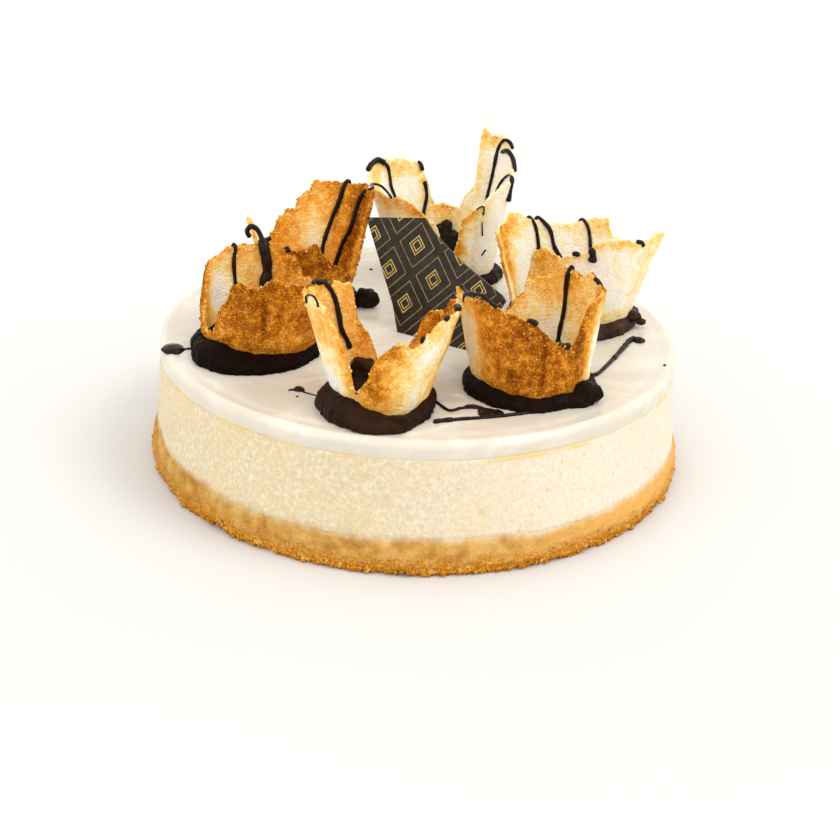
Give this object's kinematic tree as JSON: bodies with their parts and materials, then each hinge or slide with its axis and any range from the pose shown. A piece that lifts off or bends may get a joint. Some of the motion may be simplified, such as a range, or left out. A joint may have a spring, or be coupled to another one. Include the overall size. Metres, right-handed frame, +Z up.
{
  "type": "cheesecake",
  "caption": "Round baked cheesecake on a biscuit base, with a white cream topping, broken wafer baskets set in chocolate and a thin chocolate plaque.",
  "frame": {"origin": "middle of the underside of the biscuit base, on the surface the cake stands on", "axes": "+Z up; -Y faces the picture's camera, +X is to its right"},
  "size_m": [0.232, 0.232, 0.1189],
  "materials": {
    "biscuit": "crumbly golden-brown biscuit",
    "filling": "pale cream baked cheese, fine knife-drag texture",
    "cream": "smooth off-white cream, soft gloss",
    "wafer": "toasted wafer, pale at the foot and brown at the rim",
    "chocolate": "set dark chocolate, semi-gloss",
    "plaque": "dark chocolate sheet with fine gold lines"
  },
  "bodies": {
    "root": {"biscuit_base": "biscuit", "cheese_filling": "filling", "cream_topping": "cream", "wafer_basket_left": "wafer", "wafer_basket_back_left": "wafer", "wafer_basket_back": "wafer", "wafer_basket_back_right": "wafer", "wafer_basket_front_right": "wafer", "wafer_basket_front": "wafer", "chocolate_puddle_left": "chocolate", "chocolate_puddle_back_left": "chocolate", "chocolate_puddle_back": "chocolate", "chocolate_puddle_back_right": "chocolate", "chocolate_puddle_front_right": "chocolate", "chocolate_puddle_front": "chocolate", "chocolate_plaque": "plaque"}
  },
  "joints": []
}
